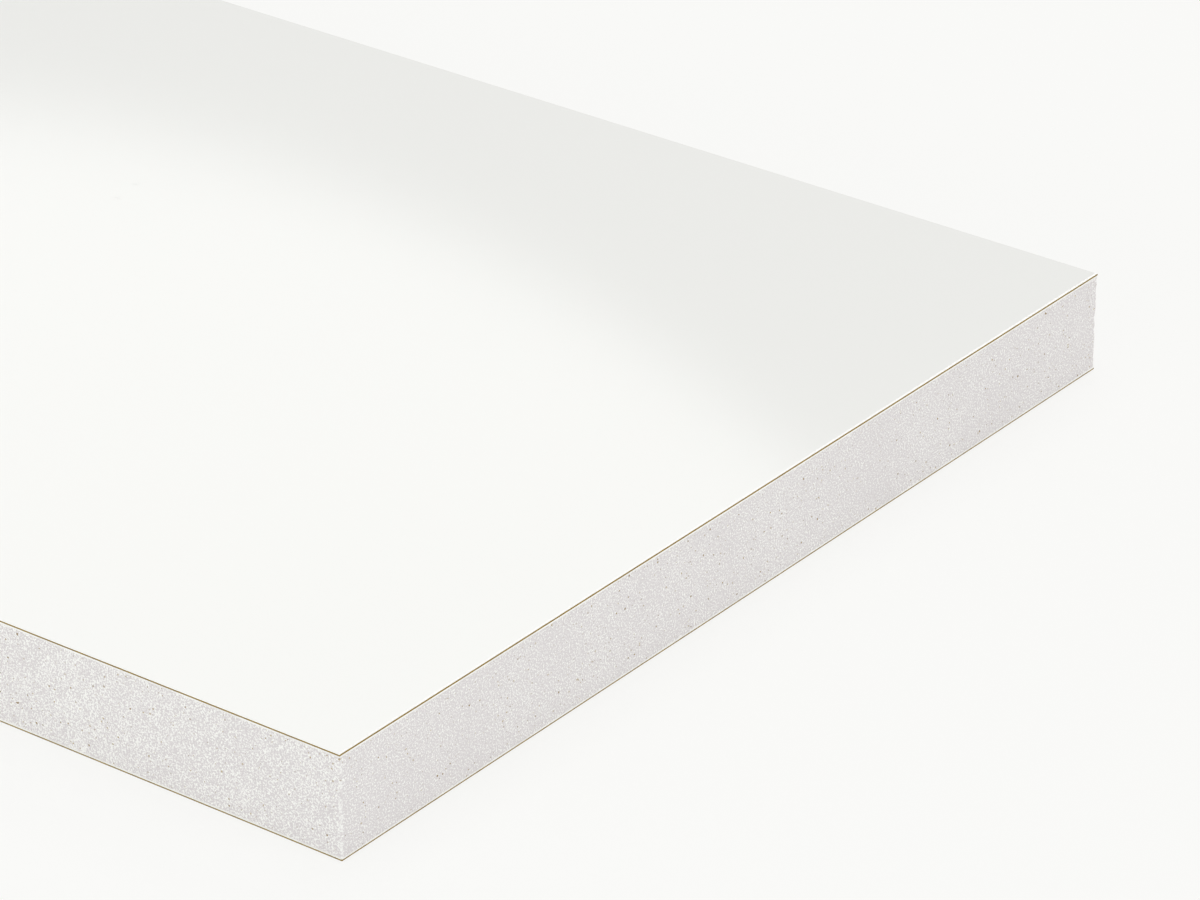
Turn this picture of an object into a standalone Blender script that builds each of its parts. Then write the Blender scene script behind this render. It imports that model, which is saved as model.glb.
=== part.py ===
"""Fire-resistant board: a mineral core with a thin laminate bonded to each face.

Metres, +Z up. The board lies flat: X runs along its length, Y across its width.
The origin is the middle of the underside.
"""

import bmesh
import bpy

# Driving dimensions of the cut board.
LENGTH = 1.200
WIDTH = 0.200
CORE_THICKNESS = 0.0168

# Each face sheet is a kraft-backed laminate, held by a bond line of glue.
LAMINATE_THICKNESS = 0.0003
BOND_LINE = 0.0003

# The saw leaves the laminate's outer arris very slightly eased.
ARRIS_EASING = 0.0001

# The core is softer than its faces, so handling rubs its four upright arrises round.
RUBBED_RADIUS = 0.0003
RUBBED_FACETS = 3

# Heights, worked up from the underside.
BACK_TOP = LAMINATE_THICKNESS
CORE_BOTTOM = BACK_TOP + BOND_LINE
CORE_TOP = CORE_BOTTOM + CORE_THICKNESS
FACE_BOTTOM = CORE_TOP + BOND_LINE
FACE_TOP = FACE_BOTTOM + LAMINATE_THICKNESS


def clear_scene():
    for old in list(bpy.data.objects):
        bpy.data.objects.remove(old)


def finish(name, color, roughness):
    """A plain Principled finish in the board's own colour."""
    material = bpy.data.materials.new(name)
    material.use_nodes = True
    shader = material.node_tree.nodes["Principled BSDF"]
    shader.inputs["Base Color"].default_value = (*color, 1.0)
    shader.inputs["Roughness"].default_value = roughness
    shader.inputs["Metallic"].default_value = 0.0
    return material


def slab(name, bottom, top, material):
    """A sawn sheet of the board's full length and width, between two heights."""
    mesh = bpy.data.meshes.new(name)
    form = bmesh.new()
    corners = [
        form.verts.new((x, y, bottom))
        for x, y in (
            (-LENGTH / 2, -WIDTH / 2),
            (LENGTH / 2, -WIDTH / 2),
            (LENGTH / 2, WIDTH / 2),
            (-LENGTH / 2, WIDTH / 2),
        )
    ]
    underside = form.faces.new(corners)
    raised = bmesh.ops.extrude_face_region(form, geom=[underside])
    lifted = [part for part in raised["geom"] if isinstance(part, bmesh.types.BMVert)]
    for corner in lifted:
        corner.co.z = top
    bmesh.ops.recalc_face_normals(form, faces=form.faces)
    form.to_mesh(mesh)
    form.free()
    mesh.materials.append(material)
    board = bpy.data.objects.new(name, mesh)
    bpy.context.scene.collection.objects.link(board)
    return board


def ease(piece, is_arris, width, facets):
    """Takes the sharpness off each edge of a piece that is_arris picks out."""
    form = bmesh.new()
    form.from_mesh(piece.data)
    bmesh.ops.bevel(
        form,
        geom=[edge for edge in form.edges if is_arris(edge)],
        offset=width,
        offset_type="OFFSET",
        segments=facets,
        profile=0.5,
        affect="EDGES",
    )
    form.to_mesh(piece.data)
    form.free()


def ease_outer_arris(sheet, height):
    """Breaks the four sharp edges round a laminate's outer face."""

    def is_on_rim(edge):
        return all(abs(corner.co.z - height) < LAMINATE_THICKNESS / 10 for corner in edge.verts)

    ease(sheet, is_on_rim, min(ARRIS_EASING, LAMINATE_THICKNESS / 2), 1)


def rub_upright_arrises(core):
    """Rounds the four corners of the core, from one bond line to the other."""

    def is_upright(edge):
        foot, head = (corner.co.z for corner in edge.verts)
        return abs(head - foot) > CORE_THICKNESS / 2

    ease(core, is_upright, RUBBED_RADIUS, RUBBED_FACETS)


def build_board():
    mineral = finish("mineral_core", (0.72, 0.70, 0.69), 0.92)
    white_laminate = finish("white_laminate", (0.93, 0.93, 0.91), 0.35)

    core = slab("core", CORE_BOTTOM, CORE_TOP, mineral)
    rub_upright_arrises(core)

    face_sheet = slab("face_laminate", FACE_BOTTOM, FACE_TOP, white_laminate)
    ease_outer_arris(face_sheet, FACE_TOP)

    back_sheet = slab("back_laminate", 0.0, BACK_TOP, white_laminate)
    ease_outer_arris(back_sheet, 0.0)


clear_scene()
build_board()
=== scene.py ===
"""The looks of a fire-resistant board: sawn core, glue lines, laminate faces and the studio round it.

Metres, +Z up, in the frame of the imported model. X runs along the board and Y across it.
"""

import math

import bpy
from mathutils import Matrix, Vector


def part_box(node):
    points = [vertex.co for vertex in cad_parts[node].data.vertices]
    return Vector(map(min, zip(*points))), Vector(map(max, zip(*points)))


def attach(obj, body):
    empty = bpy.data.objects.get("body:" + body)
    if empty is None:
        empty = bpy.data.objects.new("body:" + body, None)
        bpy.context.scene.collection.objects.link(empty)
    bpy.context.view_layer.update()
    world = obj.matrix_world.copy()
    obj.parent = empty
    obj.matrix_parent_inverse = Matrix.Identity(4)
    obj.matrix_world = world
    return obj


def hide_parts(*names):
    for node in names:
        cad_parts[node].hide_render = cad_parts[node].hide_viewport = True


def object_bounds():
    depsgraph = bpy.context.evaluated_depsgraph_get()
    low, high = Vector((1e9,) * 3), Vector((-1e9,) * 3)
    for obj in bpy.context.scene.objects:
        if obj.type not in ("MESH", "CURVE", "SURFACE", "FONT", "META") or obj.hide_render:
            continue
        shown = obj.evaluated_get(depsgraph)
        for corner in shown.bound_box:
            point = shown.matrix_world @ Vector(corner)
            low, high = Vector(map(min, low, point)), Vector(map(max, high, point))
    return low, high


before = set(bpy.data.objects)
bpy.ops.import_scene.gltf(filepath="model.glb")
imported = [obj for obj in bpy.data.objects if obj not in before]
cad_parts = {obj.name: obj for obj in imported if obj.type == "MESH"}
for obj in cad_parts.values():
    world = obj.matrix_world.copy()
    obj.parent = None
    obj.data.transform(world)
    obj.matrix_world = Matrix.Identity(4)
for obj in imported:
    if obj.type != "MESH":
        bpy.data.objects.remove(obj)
cad_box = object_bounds()

# Mineral core
# The real core is a pressed mineral mix: pinkish grey binder full of fine pale grains.
# It is sawn square on all four sides, which leaves it matt, slightly torn and pitted.
# The four upright arrises are rubbed a little round and pale.

core_low, core_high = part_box("core")
board_low, board_high = cad_box

# The saw's surface. Pits lie one to a cell of PIT_SPACING, in PIT_SHARE of the cells.
SAWN_PITCH = 0.00073
TORN_DEPTH = 0.00004
TORN_SIZE = 0.0018
PIT_DEPTH = 0.00012
PIT_RADIUS = 0.0009
PIT_SPACING = 0.0065
PIT_SHARE = 0.30

# The rubbed arrises.
RUBBED_RADIUS = 0.00030
ARRIS_ARC_POINTS = 3
ARRIS_CRUMB = 0.00014
ARRIS_CRUMB_SIZE = 0.0013
SHARPEST_SMOOTH_ANGLE = math.radians(42)

# Noise lies about NOISE_MIDDLE and seldom strays further from it than NOISE_SWING.
# A range is a pair of noise values: the mask made from it is 0 below the first and 1 above the second.
NOISE_MIDDLE = 0.5
NOISE_SWING = 0.25
CRUMB_RANGE = (0.48, 0.75)


class Socket:
    """One output of a node, on which arithmetic is written as in Python."""

    def __init__(self, tree, output):
        self.tree = tree
        self.output = output

    def math(self, operation, first, second=0.0):
        return self.tree.node("ShaderNodeMath", {"operation": operation}, {0: first, 1: second})

    def __add__(self, other):
        return self.math("ADD", self, other)

    def __sub__(self, other):
        return self.math("SUBTRACT", self, other)

    def __rsub__(self, other):
        return self.math("SUBTRACT", other, self)

    def __mul__(self, other):
        return self.math("MULTIPLY", self, other)

    def __truediv__(self, other):
        return self.math("DIVIDE", self, other)

    def __abs__(self):
        return self.math("ABSOLUTE", self)

    def __neg__(self):
        return self.math("MULTIPLY", self, -1.0)

    def __lt__(self, other):
        return self.math("LESS_THAN", self, other)

    def __gt__(self, other):
        return self.math("GREATER_THAN", self, other)

    def at_least(self, floor):
        return self.math("MAXIMUM", self, floor)

    def at_most(self, ceiling):
        return self.math("MINIMUM", self, ceiling)

    def sign(self):
        return self.math("SIGN", self)

    __radd__ = __add__
    __rmul__ = __mul__


class Tree:
    """A shader or geometry tree that is written one node to a line."""

    def __init__(self, tree):
        self.tree = tree

    def node(self, kind, settings=None, inputs=None, output=0):
        """Adds a node and gives one of its outputs, or None where a node ends the tree."""
        made = self.tree.nodes.new(kind)
        for name, value in (settings or {}).items():
            setattr(made, name, value)
        for name, value in (inputs or {}).items():
            self.feed(made.inputs[name], value)
        return Socket(self, made.outputs[output]) if made.outputs else None

    def feed(self, socket, value):
        if isinstance(value, Socket):
            self.tree.links.new(value.output, socket)
        else:
            socket.default_value = value

    def object_place(self):
        """Where a point lies on the finished piece, in metres."""
        return self.node("ShaderNodeTexCoord", output="Object")

    def grains(self, place, size, detail=0.0, roughness=0.5):
        """Smooth noise whose features are about size metres across."""
        inputs = {"Vector": place, "Scale": 1 / size, "Detail": detail, "Roughness": roughness}
        return self.node("ShaderNodeTexNoise", None, inputs)

    def cells(self, place, size):
        """Distance to the nearest of scattered points, in metres, and a random number for that point."""
        inputs = {"Vector": place, "Scale": 1 / size}
        field = self.node("ShaderNodeTexVoronoi", {"feature": "F1"}, inputs, "Distance")
        lot = Socket(self, field.output.node.outputs["Color"])
        return field * size, self.split(lot)[0]

    def split(self, vector):
        """The X, Y and Z of a vector or a place."""
        first = self.node("ShaderNodeSeparateXYZ", None, {0: vector})
        return [Socket(self, output) for output in first.output.node.outputs]

    def join(self, x=0.0, y=0.0, z=0.0):
        return self.node("ShaderNodeCombineXYZ", None, {0: x, 1: y, 2: z})

    def length(self, vector):
        return self.node("ShaderNodeVectorMath", {"operation": "LENGTH"}, {0: vector}, "Value")

    def step(self, value, start, end):
        """0 below start and 1 above end, with a soft edge between."""
        inputs = {"Value": value, "From Min": start, "From Max": end}
        return self.node("ShaderNodeMapRange", {"interpolation_type": "SMOOTHSTEP"}, inputs)

    def mix(self, share, first, second):
        """From the first colour to the second as share goes from 0 to 1."""
        inputs = {0: share, 6: first, 7: second}
        return self.node("ShaderNodeMix", {"data_type": "RGBA"}, inputs, 2)

    def bump(self, height, depth=1.0):
        """The normal of a surface that stands height times depth metres proud."""
        return self.node("ShaderNodeBump", None, {"Height": height, "Distance": depth})

    def close(self, geometry, finish):
        """Ends a geometry tree: instances made real, and the finish put on them."""
        whole = self.node("GeometryNodeRealizeInstances", None, {"Geometry": geometry})
        finished = self.node("GeometryNodeSetMaterial", None, {"Geometry": whole, "Material": finish})
        self.node("NodeGroupOutput", None, {"Geometry": finished})


def between(share, first, second):
    """From the first number to the second as share goes from 0 to 1."""
    return first + share * (second - first)


def geometry_tree(name, inputs):
    """An empty geometry tree with named inputs, and the sockets that give them."""
    group = bpy.data.node_groups.new(name, "GeometryNodeTree")
    group.interface.new_socket("Geometry", in_out="INPUT", socket_type="NodeSocketGeometry")
    for label, kind in inputs:
        group.interface.new_socket(label, in_out="INPUT", socket_type="NodeSocket" + kind)
    group.interface.new_socket("Geometry", in_out="OUTPUT", socket_type="NodeSocketGeometry")
    tree = Tree(group)
    entry = group.nodes.new("NodeGroupInput")
    return tree, {socket.name: Socket(tree, socket) for socket in entry.outputs if socket.name}


def sawn_slab_tree():
    """A closed slab with a fine grid round its sawn sides, torn and pitted there."""
    tree, given = geometry_tree(
        "sawn_slab",
        (
            ("Length", "Float"),
            ("Width", "Float"),
            ("Bottom", "Float"),
            ("Top", "Float"),
            ("Pitch", "Float"),
            ("Rubbed Radius", "Float"),
            ("Torn Depth", "Float"),
            ("Pit Depth", "Float"),
            ("Finish", "Material"),
        ),
    )
    place = tree.node("GeometryNodeInputPosition")

    # The outline: a rectangle with rubbed corners, cut into steps of one pitch.
    sides = {"Width": given["Length"], "Height": given["Width"]}
    square = tree.node("GeometryNodeCurvePrimitiveQuadrilateral", None, sides)
    rubbing = {"Curve": square, "Radius": given["Rubbed Radius"], "Count": ARRIS_ARC_POINTS}
    rubbed = tree.node("GeometryNodeFilletCurve", {"mode": "POLY"}, rubbing)
    following = tree.node("GeometryNodeOffsetPointInCurve", None, {"Offset": 1}, "Point Index")
    follower = {"Value": place, "Index": following}
    next_place = tree.node("GeometryNodeFieldAtIndex", {"data_type": "FLOAT_VECTOR"}, follower)
    ends = {0: place, 1: next_place}
    run = tree.node("ShaderNodeVectorMath", {"operation": "DISTANCE"}, ends, "Value")
    cuts = {"Curve": rubbed, "Cuts": run / given["Pitch"]}
    outline = tree.node("GeometryNodeSubdivideCurve", None, cuts)

    # The slab: the outline swept up the board's height, with a row at either rim and one each pitch.
    height = {"Start": tree.join(z=given["Bottom"]), "End": tree.join(z=given["Top"])}
    upright = tree.node("GeometryNodeCurvePrimitiveLine", None, height)
    rows = {"Curve": upright, "Count": (given["Top"] - given["Bottom"]) / given["Pitch"] + 2}
    stepped = tree.node("GeometryNodeResampleCurve", {"mode": "COUNT"}, rows)
    sweep = {"Curve": stepped, "Profile Curve": outline, "Fill Caps": True}
    slab = tree.node("GeometryNodeCurveToMesh", None, sweep)

    # The saw's work: torn hollows, pits and crumbled arrises, all fading out at the rims.
    x, y, z = tree.split(place)
    from_end = given["Length"] / 2 - abs(x)
    from_edge = given["Width"] / 2 - abs(y)
    from_rim = (z - given["Bottom"]).at_most(given["Top"] - z)
    on_end = from_end < given["Rubbed Radius"]
    on_edge = from_edge < given["Rubbed Radius"]
    on_arris = on_end * on_edge

    hollow = (tree.grains(place, TORN_SIZE, 2.0) - NOISE_MIDDLE).at_least(0.0) / NOISE_SWING
    torn = hollow * given["Torn Depth"]
    reach, lot = tree.cells(place, PIT_SPACING)
    pit = (1 - tree.step(reach, 0.0, PIT_RADIUS)) * (lot < PIT_SHARE) * given["Pit Depth"]
    crumb = tree.step(tree.grains(place, ARRIS_CRUMB_SIZE), *CRUMB_RANGE) * ARRIS_CRUMB * on_arris
    depth = (torn + pit + crumb) * tree.step(from_rim, 0.0, given["Pitch"])
    inward = tree.join(-x.sign() * on_end * depth, -y.sign() * on_edge * depth)
    worn = tree.node("GeometryNodeSetPosition", None, {"Geometry": slab, "Offset": inward})
    tree.close(worn, given["Finish"])
    return tree.tree


def grown(name, carrier_mesh, group, values):
    """The plain mesh that a geometry tree grows from a carrier mesh, as a piece of its own."""
    carrier = bpy.data.objects.new(name + "_carrier", carrier_mesh)
    bpy.context.scene.collection.objects.link(carrier)
    modifier = carrier.modifiers.new("grow", "NODES")
    modifier.node_group = group
    for item in group.interface.items_tree:
        if item.item_type == "SOCKET" and item.in_out == "INPUT" and item.name in values:
            modifier[item.identifier] = values[item.name]
    evaluated = carrier.evaluated_get(bpy.context.evaluated_depsgraph_get())
    mesh = bpy.data.meshes.new_from_object(evaluated)
    bpy.data.objects.remove(carrier)
    mesh.name = name
    mesh.shade_smooth()
    mesh.set_sharp_from_angle(angle=SHARPEST_SMOOTH_ANGLE)
    piece = bpy.data.objects.new(name, mesh)
    bpy.context.scene.collection.objects.link(piece)
    return piece


def new_finish(name):
    """A material, its tree and its Principled shader."""
    material = bpy.data.materials.new(name)
    material.use_nodes = True
    return material, Tree(material.node_tree), material.node_tree.nodes["Principled BSDF"]


# Binder and grains. Each richness is how far the share of pale grains swings.
GREY_BINDER = (0.672, 0.644, 0.646, 1)
PALE_GRAIN = (0.918, 0.922, 0.893, 1)
GRAIN_SIZE = 0.00029
PALE_RANGE = (0.49, 0.60)
CLUMP_SIZE = 0.0024
CLUMP_RICHNESS = 0.06
DRIFT_SIZE = 0.0150
DRIFT_RICHNESS = 0.04
EDGE_RICHNESS = 0.03
BINDER_ROUGHNESS = 0.86
GRAIN_ROUGHNESS = 0.94
GRAIN_RELIEF = 0.00003
MATT_SPECULAR = 0.25

# Pores. Their darker colour is painted shade, standing in for the shadow inside real pores.
PAINTED_PORE_SHADE = (0.560, 0.530, 0.500, 1)
PORE_SPACING = 0.0016
PORE_RADIUS = 0.00016
PORE_FLOOR_RADIUS = 0.000064
PORE_STRENGTH = 0.6

# Pale dust on the rubbed arrises, which lies in patches and on the grains.
RUBBED_DUST = (0.875, 0.877, 0.852, 1)
DUST_REACH = 0.00057
WORN_PATCH = 0.0017
WORN_RANGE = (0.36, 0.60)
DUSTY_GRAIN_RANGE = (0.36, 0.56)


def mineral_finish():
    """Fine pale grains in a grey binder, painted shade in the pores, and dusty rubbed arrises."""
    material, tree, shader = new_finish("sawn_mineral")
    place = tree.object_place()
    x, y, _ = tree.split(place)
    from_end = board_high.x - abs(x)
    from_edge = board_high.y - abs(y)

    grain = tree.grains(place, GRAIN_SIZE, 2.0, 0.7)
    clump = (tree.grains(place, CLUMP_SIZE, 1.0) - NOISE_MIDDLE) * CLUMP_RICHNESS
    drift = (tree.grains(place, DRIFT_SIZE) - NOISE_MIDDLE) * DRIFT_RICHNESS
    along_edge = tree.step(from_end - from_edge, -RUBBED_RADIUS, RUBBED_RADIUS)
    richness = clump + drift + (along_edge - 0.5) * EDGE_RICHNESS
    pale = tree.step(grain + richness, *PALE_RANGE)

    reach, lot = tree.cells(place, PORE_SPACING)
    pore = (1 - tree.step(reach, PORE_FLOOR_RADIUS, PORE_RADIUS)) * lot

    patch = tree.step(tree.grains(place, WORN_PATCH, 1.0), *WORN_RANGE)
    wear = patch * tree.step(grain, *DUSTY_GRAIN_RANGE)
    rubbed = (1 - tree.step(from_end.at_least(from_edge), RUBBED_RADIUS, DUST_REACH)) * wear

    colour = tree.mix(pale, GREY_BINDER, PALE_GRAIN)
    # Painted shade darkens the pores.
    colour = tree.mix(pore * PORE_STRENGTH, colour, PAINTED_PORE_SHADE)
    colour = tree.mix(rubbed, colour, RUBBED_DUST)
    tree.feed(shader.inputs["Base Color"], colour)
    tree.feed(shader.inputs["Roughness"], between(pale, BINDER_ROUGHNESS, GRAIN_ROUGHNESS))
    tree.feed(shader.inputs["Normal"], tree.bump(grain - pore, GRAIN_RELIEF))
    tree.feed(shader.inputs["Specular IOR Level"], MATT_SPECULAR)
    return material


sawn_slab = sawn_slab_tree()
empty_mesh = bpy.data.meshes.new("carrier")
core = grown(
    "sawn_core",
    empty_mesh,
    sawn_slab,
    {
        "Length": board_high.x - board_low.x,
        "Width": board_high.y - board_low.y,
        "Bottom": core_low.z,
        "Top": core_high.z,
        "Pitch": SAWN_PITCH,
        "Rubbed Radius": RUBBED_RADIUS,
        "Torn Depth": TORN_DEPTH,
        "Pit Depth": PIT_DEPTH,
        "Finish": mineral_finish(),
    },
)
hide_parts("core")
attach(core, "root")

# Mineral flecks
# Tan flakes of expanded mineral are mixed all through the core, and the saw cuts through them.
# They lie almost flush in the four sawn sides, a few hundredths of a millimetre proud.

# Sizes are radii, NARROWEST is width over length, and FLATNESS is thickness over length.
FLECKS_PER_SQUARE_METRE = 260000.0
SMALLEST_FLECK = 0.00008
LARGEST_FLECK = 0.00022
NARROWEST_FLECK = 0.55
FLECK_FLATNESS = 0.20
FLECK_SIDES = 6
FLECK_SEED = 5

# A face is a side where the upward part of its normal is less than this.
STEEPEST_SIDE = 0.7


def fleck_tree():
    """Scatters flat six-sided flakes over the upright faces of the mesh it is given."""
    tree, given = geometry_tree(
        "scatter_flecks",
        (
            ("Density", "Float"),
            ("Smallest", "Float"),
            ("Largest", "Float"),
            ("Flatness", "Float"),
            ("Seed", "Int"),
            ("Finish", "Material"),
        ),
    )
    upward = abs(tree.split(tree.node("GeometryNodeInputNormal"))[2])
    spread = {
        "Mesh": given["Geometry"],
        "Selection": upward < STEEPEST_SIDE,
        "Density": given["Density"],
        "Seed": given["Seed"],
    }
    points = tree.node("GeometryNodeDistributePointsOnFaces", None, spread, "Points")
    outward = Socket(tree, points.output.node.outputs["Rotation"])

    def draw(low, high, seed):
        ends = {2: low, 3: high, "Seed": seed}
        return tree.node("FunctionNodeRandomValue", {"data_type": "FLOAT"}, ends, 1)

    turn = tree.join(z=draw(0.0, 2 * math.pi, 1))
    turning = {"Rotation": outward, "Rotate By": tree.node("FunctionNodeEulerToRotation", None, {0: turn})}
    facing = tree.node("FunctionNodeRotateRotation", {"rotation_space": "LOCAL"}, turning)

    # The cube of a random number leaves most flakes near the smallest size.
    lot = draw(0.0, 1.0, 2)
    radius = between(lot * lot * lot, given["Smallest"], given["Largest"])
    scale = tree.join(radius, radius * draw(NARROWEST_FLECK, 1.0, 3), radius * given["Flatness"])
    form = {"Segments": FLECK_SIDES, "Rings": 2, "Radius": 1.0}
    flake = tree.node("GeometryNodeMeshUVSphere", None, form, "Mesh")
    laying = {"Points": points, "Instance": flake, "Rotation": facing, "Scale": scale}
    tree.close(tree.node("GeometryNodeInstanceOnPoints", None, laying), given["Finish"])
    return tree.tree


TAN_FLAKE = (0.240, 0.155, 0.050, 1)
FADED_FLAKE = (0.480, 0.400, 0.270, 1)
FLAKE_TONE_SIZE = 0.0016
FADED_RANGE = (0.36, 0.58)
TAN_FLAKE_ROUGHNESS = 0.6
FADED_FLAKE_ROUGHNESS = 0.8


def fleck_finish():
    """Tan mineral that is faded and duller on some flakes."""
    material, tree, shader = new_finish("tan_flake")
    faded = tree.step(tree.grains(tree.object_place(), FLAKE_TONE_SIZE), *FADED_RANGE)
    tree.feed(shader.inputs["Base Color"], tree.mix(faded, TAN_FLAKE, FADED_FLAKE))
    tree.feed(shader.inputs["Roughness"], between(faded, TAN_FLAKE_ROUGHNESS, FADED_FLAKE_ROUGHNESS))
    return material


flecks = grown(
    "mineral_flecks",
    core.data,
    fleck_tree(),
    {
        "Density": FLECKS_PER_SQUARE_METRE,
        "Smallest": SMALLEST_FLECK,
        "Largest": LARGEST_FLECK,
        "Flatness": FLECK_FLATNESS,
        "Seed": FLECK_SEED,
        "Finish": fleck_finish(),
    },
)
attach(flecks, "root")

# Glue lines
# A film of pale glue bonds each laminate to the core over its whole face.
# It is sawn flush with the board, and has drawn back a little in places as it cured.

face_low, face_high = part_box("face_laminate")
back_low, back_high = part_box("back_laminate")

GLUE_PITCH = 0.0014
GLUE_SHRINKAGE = 0.00003

PALE_GLUE = (0.880, 0.885, 0.850, 1)
DUSTY_GLUE = (0.800, 0.795, 0.765, 1)
GLUE_PATCH = 0.0060
DUSTY_RANGE = (0.45, 0.60)
GLUE_ROUGHNESS = 0.55
DUSTY_GLUE_ROUGHNESS = 0.85


def glue_finish():
    """Pale glue with saw dust caught on it, in specks that gather in patches."""
    material, tree, shader = new_finish("pale_glue")
    place = tree.object_place()
    specks = tree.grains(place, GRAIN_SIZE, 1.0)
    patches = tree.grains(place, GLUE_PATCH)
    dusty = tree.step((specks + patches) / 2, *DUSTY_RANGE)
    tree.feed(shader.inputs["Base Color"], tree.mix(dusty, PALE_GLUE, DUSTY_GLUE))
    tree.feed(shader.inputs["Roughness"], between(dusty, GLUE_ROUGHNESS, DUSTY_GLUE_ROUGHNESS))
    return material


glue = glue_finish()
for name, bottom, top in (
    ("glue_line_under_face", core_high.z, face_low.z),
    ("glue_line_over_back", back_high.z, core_low.z),
):
    film = grown(
        name,
        empty_mesh,
        sawn_slab,
        {
            "Length": board_high.x - board_low.x,
            "Width": board_high.y - board_low.y,
            "Bottom": bottom,
            "Top": top,
            "Pitch": GLUE_PITCH,
            "Rubbed Radius": RUBBED_RADIUS,
            "Torn Depth": GLUE_SHRINKAGE,
            "Pit Depth": 0.0,
            "Finish": glue,
        },
    )
    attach(film, "root")

# Laminates
# Each face sheet is a pressed laminate: tan kraft paper under a thin white decor layer.
# Its outside is satin with a very fine texture, and its sawn rim shows the kraft as a tan line.
# Crosscutting leaves a narrow, shallow slope along each end, which catches the light.

# Decor. Its depth wanders a little, and on the long sides it reaches a little further down, which is
# painted light: it lightens their top tan line.
WHITE_DECOR = (0.925, 0.927, 0.897, 1)
DECOR_DEPTH = 0.00006
DECOR_WANDER = 0.00003
PAINTED_LIGHT_LIP = 0.00002
SATIN_ROUGHNESS = 0.06
SATIN_VARIATION = 0.02
SHEEN_PATCH = 0.05
TEXTURE_SIZE = 0.00035
TEXTURE_DEPTH = 0.0000035
CROSSCUT_RIM = 0.00042
CROSSCUT_SLOPE = math.tan(math.radians(13))

# Two faint speckled marks that handling left on the decor.
HANDLING_MARK = (0.880, 0.882, 0.852, 1)
MARK_PLACES = ((0.4491, 0.0230), (0.4480, 0.0293))
MARK_RADIUS = 0.0013
MARK_GRAIN = 0.0006
MARK_RANGE = (0.40, 0.60)

# Kraft.
KRAFT = (0.300, 0.200, 0.034, 1)
DARK_KRAFT = (0.236, 0.152, 0.030, 1)
FIBRE_SIZE = 0.0012
FIBRE_RANGE = (0.35, 0.65)
KRAFT_ROUGHNESS = 0.85
KRAFT_SPECULAR = 0.1


def laminate_finish(name, outer_height, outward):
    """White decor over tan kraft. outward is 1 where the sheet's outer face looks up, and -1 for down."""
    material, tree, decor = new_finish(name)
    place = tree.object_place()
    x, y, z = tree.split(place)
    from_end = board_high.x - abs(x)
    from_edge = board_high.y - abs(y)

    colour = WHITE_DECOR
    speckle = tree.step(tree.grains(place, MARK_GRAIN, 1.0), *MARK_RANGE)
    for mark_x, mark_y in MARK_PLACES:
        away = tree.length(tree.join(x - mark_x, y - mark_y))
        colour = tree.mix((1 - tree.step(away, 0.0, MARK_RADIUS)) * speckle, colour, HANDLING_MARK)
    satin = (tree.grains(place, SHEEN_PATCH, 2.0) - NOISE_MIDDLE) * SATIN_VARIATION + SATIN_ROUGHNESS
    texture = tree.grains(place, TEXTURE_SIZE, 1.0) * TEXTURE_DEPTH
    rim = from_end.at_most(CROSSCUT_RIM) * CROSSCUT_SLOPE
    tree.feed(decor.inputs["Base Color"], colour)
    tree.feed(decor.inputs["Roughness"], satin)
    tree.feed(decor.inputs["Normal"], tree.bump(texture + rim))

    fibre = tree.grains(place, FIBRE_SIZE, 2.0)
    paper = {
        "Base Color": tree.mix(tree.step(fibre, *FIBRE_RANGE), KRAFT, DARK_KRAFT),
        "Roughness": KRAFT_ROUGHNESS,
        "Specular IOR Level": KRAFT_SPECULAR,
    }
    kraft = tree.node("ShaderNodeBsdfPrincipled", None, paper)

    is_ripped = from_edge < from_end
    # On the long sides the white reaches a little deeper: painted light that lightens their top tan line.
    decor_depth = DECOR_DEPTH + is_ripped * PAINTED_LIGHT_LIP + (fibre - NOISE_MIDDLE) * DECOR_WANDER
    is_kraft = (outer_height - z) * outward > decor_depth
    layers = {0: is_kraft, 1: Socket(tree, decor.outputs["BSDF"]), 2: kraft}
    both = tree.node("ShaderNodeMixShader", None, layers)
    tree.feed(material.node_tree.nodes["Material Output"].inputs["Surface"], both)
    return material


for name, outer_height, outward in (
    ("face_laminate", face_high.z, 1.0),
    ("back_laminate", back_low.z, -1.0),
):
    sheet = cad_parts[name]
    sheet.data.materials.clear()
    sheet.data.materials.append(laminate_finish(name + "_white", outer_height, outward))

# Studio
# A pale floor that fades into a page-white background, under soft room light and five softboxes.
# The oval back softbox lies in the laminate's gloss, and its lower edge is where the face's sheen ends.
# The rim softbox shines in the sloped rim along the board's end, and the two low ones only fill.

# The page is what the camera sees of the floor and the room. Within SHADOW_REACH of the board it
# takes SHADOW_SHARE of its tone from the lit floor, and is itself a little lighter there.
PAGE_WHITE = (0.947, 0.947, 0.930, 1)
PAGE_BY_BOARD = (0.967, 0.967, 0.950, 1)
FLOOR_WHITE = (0.930, 0.930, 0.915, 1)
FLOOR_DROP = 0.00005
FLOOR_REACH = 14.0
SHADOW_REACH = 0.30
SHADOW_SHARE = 0.18

ROOM_WHITE = (1, 1, 1, 1)
ROOM_LIGHT = 0.576


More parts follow.
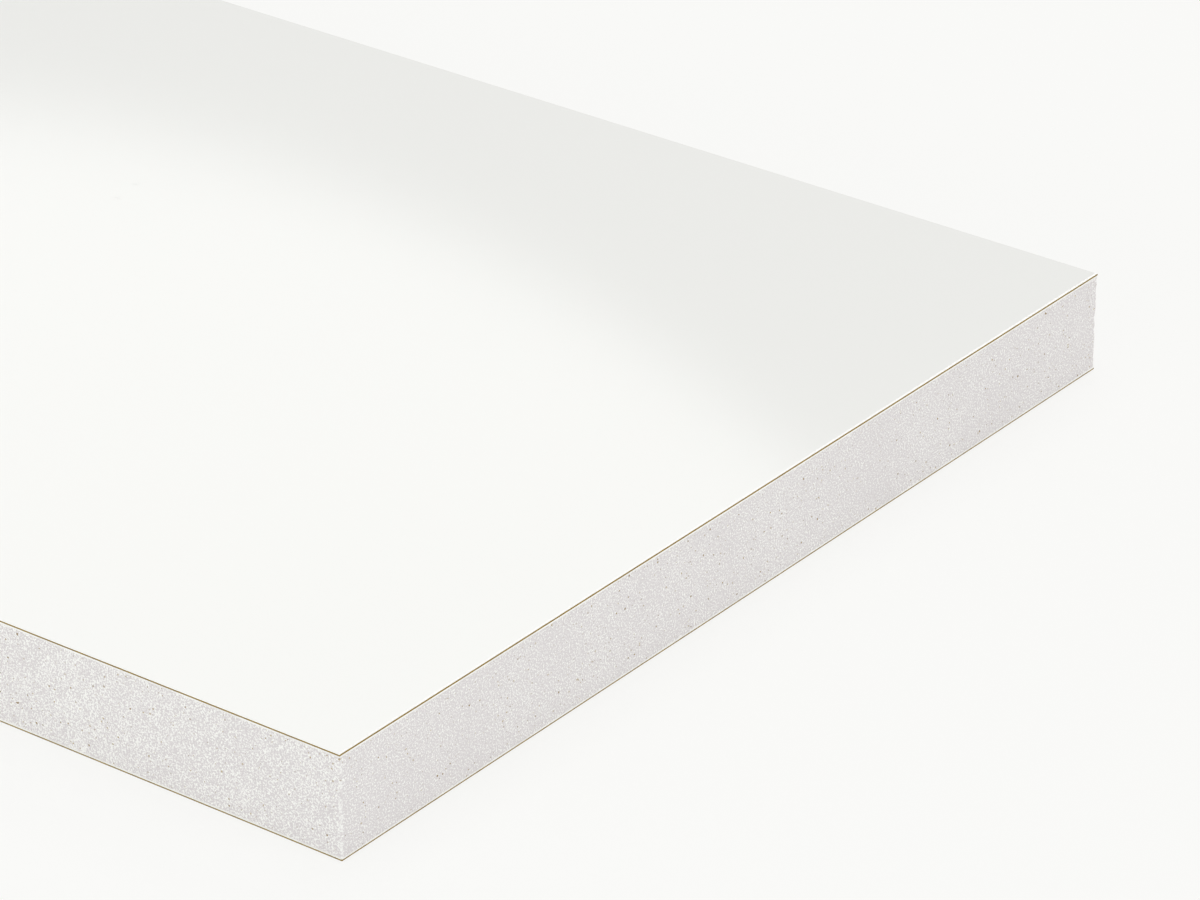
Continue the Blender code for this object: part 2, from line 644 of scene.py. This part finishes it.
def floor_finish():
    """A matt floor for the light, and the page for the camera, gloss and glass."""
    material = bpy.data.materials.new("pale_floor")
    material.use_nodes = True
    material.node_tree.nodes.clear()
    tree = Tree(material.node_tree)
    x, y, _ = tree.split(tree.object_place())
    past_end = (abs(x) - board_high.x).at_least(0.0)
    past_edge = (abs(y) - board_high.y).at_least(0.0)
    away = tree.length(tree.join(past_end, past_edge))
    near = 1 - tree.step(away, 0.0, SHADOW_REACH)

    camera_ray = tree.node("ShaderNodeLightPath", output="Is Camera Ray")
    rays = camera_ray.output.node.outputs
    seen = camera_ray + Socket(tree, rays["Is Glossy Ray"]) + Socket(tree, rays["Is Transmission Ray"])
    share = seen.at_most(1.0) * (1 - near * SHADOW_SHARE)
    matt = tree.node("ShaderNodeBsdfDiffuse", None, {"Color": FLOOR_WHITE})
    page = tree.mix(near, PAGE_WHITE, PAGE_BY_BOARD)
    glow = tree.node("ShaderNodeEmission", None, {"Color": page, "Strength": 1.0})
    both = tree.node("ShaderNodeMixShader", None, {0: share, 1: matt, 2: glow})
    tree.node("ShaderNodeOutputMaterial", None, {"Surface": both})
    return material


def lay_floor():
    mesh = bpy.data.meshes.new("floor")
    height = board_low.z - FLOOR_DROP
    reach = FLOOR_REACH / 2
    corners = [
        (-reach, -reach, height),
        (reach, -reach, height),
        (reach, reach, height),
        (-reach, reach, height),
    ]
    mesh.from_pydata(corners, [], [(0, 1, 2, 3)])
    floor = bpy.data.objects.new("floor", mesh)
    bpy.context.scene.collection.objects.link(floor)
    mesh.materials.append(floor_finish())


def light_room():
    """Even white light from all round, with the page where the camera looks past the floor."""
    world = bpy.data.worlds.new("room")
    bpy.context.scene.world = world
    world.use_nodes = True
    world.node_tree.nodes.clear()
    tree = Tree(world.node_tree)
    direct = tree.node("ShaderNodeLightPath", output="Is Camera Ray")
    room = tree.node("ShaderNodeBackground", None, {"Color": ROOM_WHITE, "Strength": ROOM_LIGHT})
    page = tree.node("ShaderNodeBackground", None, {"Color": PAGE_WHITE, "Strength": 1.0})
    both = tree.node("ShaderNodeMixShader", None, {0: direct, 1: room, 2: page})
    tree.node("ShaderNodeOutputWorld", None, {"Surface": both})


def softbox(name, place, target, size, watts, shape="RECTANGLE", in_gloss=True):
    """A soft lamp that faces its target and doesn't show itself to the camera."""
    lamp = bpy.data.lights.new(name, "AREA")
    lamp.shape = shape
    lamp.size, lamp.size_y = size
    lamp.energy = watts
    box = bpy.data.objects.new(name, lamp)
    bpy.context.scene.collection.objects.link(box)
    box.location = place
    box.rotation_euler = (Vector(target) - Vector(place)).to_track_quat("-Z", "Y").to_euler()
    box.visible_camera = False
    box.visible_glossy = in_gloss


lay_floor()
light_room()
softbox(
    "back_softbox",
    place=(-0.962, 1.453, 1.385),
    target=(-1.083, -0.067, 0.0),
    size=(1.588, 0.90),
    watts=3.65,
    shape="ELLIPSE",
)
softbox(
    "rim_softbox",
    place=(0.0, 1.85, 1.62),
    target=(0.6, 0.0, 0.0),
    size=(1.0, 0.6),
    watts=4.3,
)
softbox(
    "top_softbox",
    place=(0.2, 0.3, 2.2),
    target=(0.2, 0.3, 0.0),
    size=(1.8, 1.8),
    watts=11.0,
)
softbox(
    "front_strip",
    place=(-0.1, -0.9, 0.22),
    target=(-0.1, 0.0, 0.0),
    size=(2.0, 0.3),
    watts=4.15,
    in_gloss=False,
)
softbox(
    "end_softbox",
    place=(2.0, 0.0, 0.35),
    target=(0.6, 0.0, 0.0),
    size=(1.2, 0.4),
    watts=7.0,
    in_gloss=False,
)

# Camera
# It looks down on one corner of the board, with the sawn end on the right and the long edge on the left.
# Its place and angles are fitted to the corners and edges of the end that the photo shows whole.

PHOTO_WIDTH = 1200
FOCAL_PIXELS = 5898
AZIMUTH = math.radians(37.21)
ELEVATION = math.radians(27.45)
CORNER_TO_CAMERA = Vector((0.4727, -0.5606, 0.4478))


def set_camera():
    camera = bpy.data.cameras.new("photo_camera")
    camera.sensor_width = 36.0
    camera.lens = camera.sensor_width * FOCAL_PIXELS / PHOTO_WIDTH
    camera.clip_start = 0.01
    camera.clip_end = 50.0
    stand = bpy.data.objects.new("photo_camera", camera)
    bpy.context.scene.collection.objects.link(stand)
    near_corner = Vector((board_high.x, board_low.y, board_low.z))
    back = Vector(
        (
            math.sin(AZIMUTH) * math.cos(ELEVATION),
            -math.cos(AZIMUTH) * math.cos(ELEVATION),
            math.sin(ELEVATION),
        )
    )
    stand.location = near_corner + CORNER_TO_CAMERA
    stand.rotation_mode = "QUATERNION"
    stand.rotation_quaternion = (-back).to_track_quat("-Z", "Y")
    bpy.context.scene.camera = stand


set_camera()
bpy.context.scene.view_settings.view_transform = "Standard"
